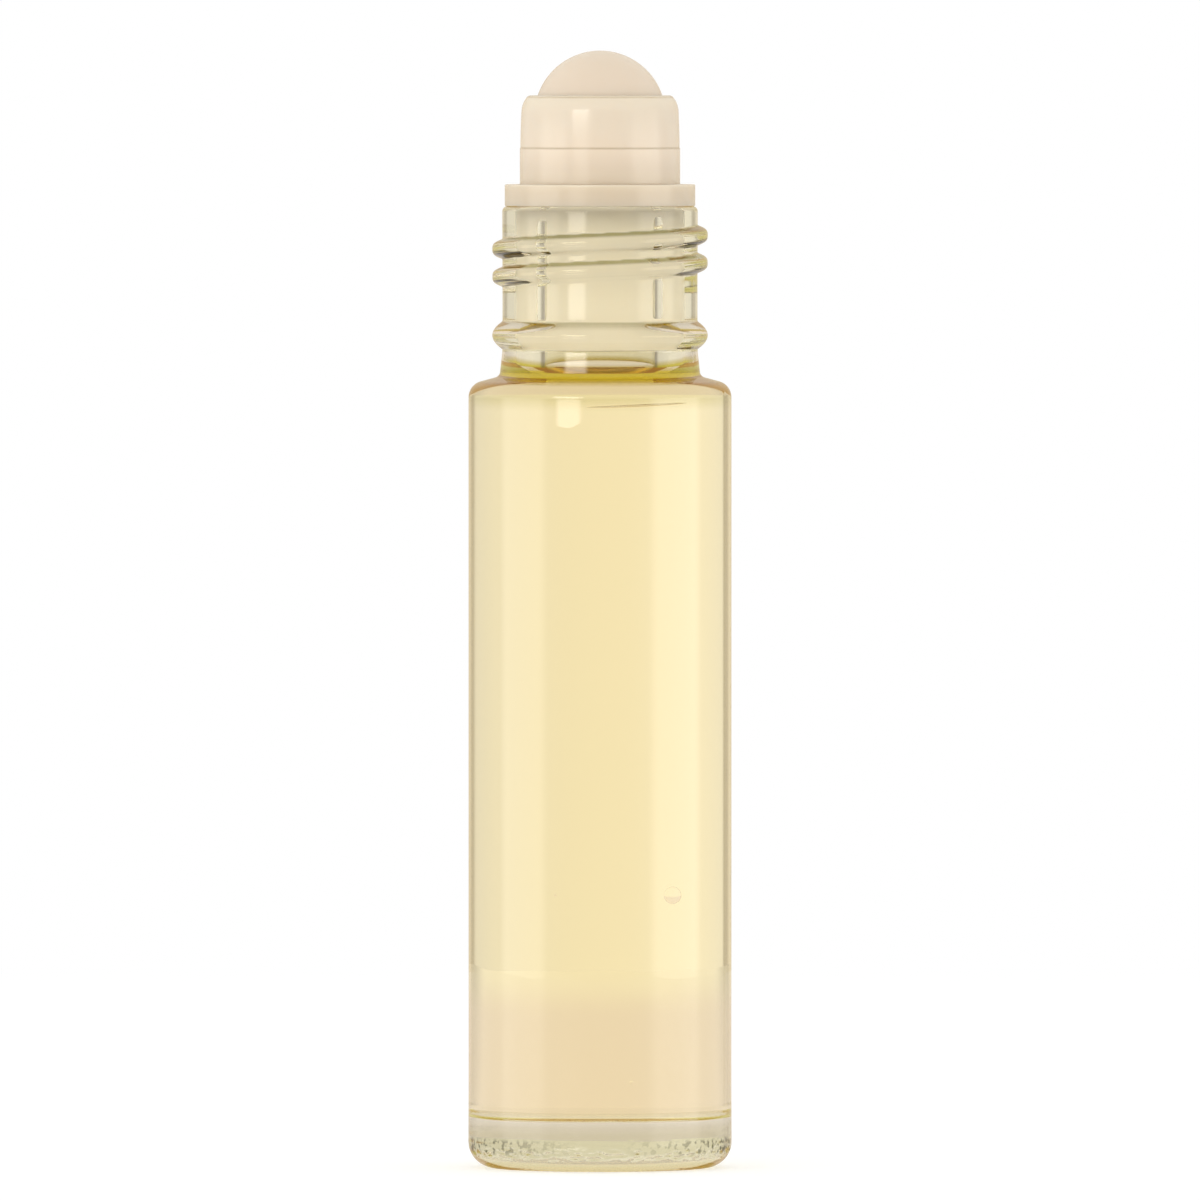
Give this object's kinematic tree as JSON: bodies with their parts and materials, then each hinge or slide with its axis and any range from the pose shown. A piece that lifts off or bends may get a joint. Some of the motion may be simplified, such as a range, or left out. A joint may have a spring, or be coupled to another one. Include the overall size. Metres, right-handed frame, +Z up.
{
  "type": "roll-on bottle",
  "caption": "Clear glass roll-on bottle filled with pale oil, with a screw-thread neck and a plug-in plastic housing that holds a free-rolling applicator ball.",
  "frame": {"origin": "centre of the plane that the bottle stands on, on the bottle's axis", "axes": "+Z up along the bottle's axis towards the ball, +X to the right and +Y away from the viewer in the picture"},
  "size_m": [0.02, 0.02, 0.0848],
  "materials": {
    "clear_glass": "clear flint glass, fire polished, stippled on the standing ring",
    "pale_oil": null,
    "milky_polyethylene": "translucent off-white low-density polyethylene, moulded, satin",
    "off_white_polypropylene": "off-white polypropylene, polished ball"
  },
  "bodies": {
    "bottle": {"glass_bottle": "clear_glass", "oil_fill": "pale_oil"},
    "fitment": {"roller_housing": "milky_polyethylene"},
    "ball": {"roller_ball": "off_white_polypropylene"}
  },
  "joints": [
    {"name": "fitment_pull", "type": "slide", "parent": "bottle", "child": "fitment", "axis": [0, 0, 1], "range_m": [0, 0.014]},
    {"name": "ball_roll", "type": "hinge", "parent": "fitment", "child": "ball", "pos_m": [0, 0, 0.0798], "axis": [1, 0, 0], "continuous": true}
  ]
}
